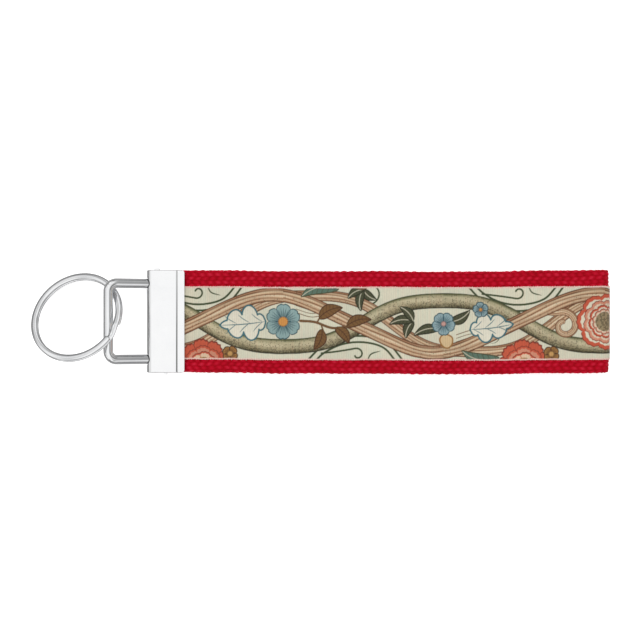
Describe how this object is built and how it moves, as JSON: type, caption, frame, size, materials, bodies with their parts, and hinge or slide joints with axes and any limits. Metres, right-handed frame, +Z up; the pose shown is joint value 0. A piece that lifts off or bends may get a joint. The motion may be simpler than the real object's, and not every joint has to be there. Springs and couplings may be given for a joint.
{
  "type": "wristlet keychain",
  "caption": "Folded webbing wrist strap with a patterned ribbon on its face, gripped in a chromed clamp with a wire bail and a split ring for keys.",
  "frame": {"origin": "middle of the clamp's back face, which lies on the table", "axes": "+X from the clamp towards the fold of the strap, +Y across the strap, +Z up out of the ribbon's face"},
  "size_m": [0.1812, 0.034, 0.0156],
  "materials": {
    "bright_chrome": "mirror-bright plated stamped steel",
    "bright_nickel": "bright nickel-plated steel wire",
    "red_webbing": "chunky red cotton webbing, matt",
    "printed_ribbon": "fine-ribbed cream ribbon with a printed scrolling plant pattern",
    "edge_thread": "pale pinkish sewing thread"
  },
  "bodies": {
    "clamp": {"clamp_shell": "bright_chrome", "webbing_end_front": "red_webbing", "ribbon_end_front": "printed_ribbon", "thread_upper_end_front": "edge_thread", "thread_lower_end_front": "edge_thread", "webbing_end_back": "red_webbing", "ribbon_end_back": "printed_ribbon", "thread_upper_end_back": "edge_thread", "thread_lower_end_back": "edge_thread"},
    "bail": {"bail": "bright_nickel"},
    "split_ring": {"split_ring": "bright_nickel"},
    "strap_base": {"webbing_neck_front": "red_webbing", "ribbon_neck_front": "printed_ribbon", "thread_upper_neck_front": "edge_thread", "thread_lower_neck_front": "edge_thread", "webbing_near_back": "red_webbing", "ribbon_near_back": "printed_ribbon", "thread_upper_near_back": "edge_thread", "thread_lower_near_back": "edge_thread"},
    "loop_front_side": {"webbing_near_front": "red_webbing", "ribbon_near_front": "printed_ribbon", "thread_upper_near_front": "edge_thread", "thread_lower_near_front": "edge_thread"},
    "loop_top": {"webbing_fold": "red_webbing", "ribbon_fold": "printed_ribbon", "thread_upper_fold": "edge_thread", "thread_lower_fold": "edge_thread"},
    "loop_back_side": {"webbing_far_back": "red_webbing", "ribbon_far_back": "printed_ribbon", "thread_upper_far_back": "edge_thread", "thread_lower_far_back": "edge_thread"}
  },
  "joints": [
    {"name": "bail_swing", "type": "hinge", "parent": "clamp", "child": "bail", "pos_m": [-0.0035, 0, 0.003], "axis": [0, 1, 0], "range_deg": [-27.65, 3]},
    {"name": "ring_swing", "type": "hinge", "parent": "bail", "child": "split_ring", "pos_m": [-0.01705, 0, 0.0101], "axis": [0, 1, 0], "range_deg": [-20, 120]},
    {"name": "strap_flex", "type": "hinge", "parent": "clamp", "child": "strap_base", "pos_m": [0.0068, 0, 0.003], "axis": [0, -1, 0], "range_deg": [0, 40], "stiffness_Nm_per_rad": 0.03},
    {"name": "loop_open", "type": "hinge", "parent": "strap_base", "child": "loop_front_side", "pos_m": [0.015, 0, 0.00498], "axis": [0, -1, 0], "range_deg": [0, 60], "stiffness_Nm_per_rad": 0.03},
    {"name": "loop_top_flex", "type": "hinge", "parent": "loop_front_side", "child": "loop_top", "pos_m": [0.067, 0, 0.00498], "axis": [0, 1, 0], "range_deg": [0, 60]},
    {"name": "loop_back_flex", "type": "hinge", "parent": "loop_top", "child": "loop_back_side", "pos_m": [0.132, 0, 0.00103], "axis": [0, -1, 0], "range_deg": [0, 60]}
  ],
  "couplings": [
    {"joint": "loop_top_flex", "follows": "loop_open", "ratio": 1},
    {"joint": "loop_back_flex", "follows": "loop_open", "ratio": 1}
  ]
}
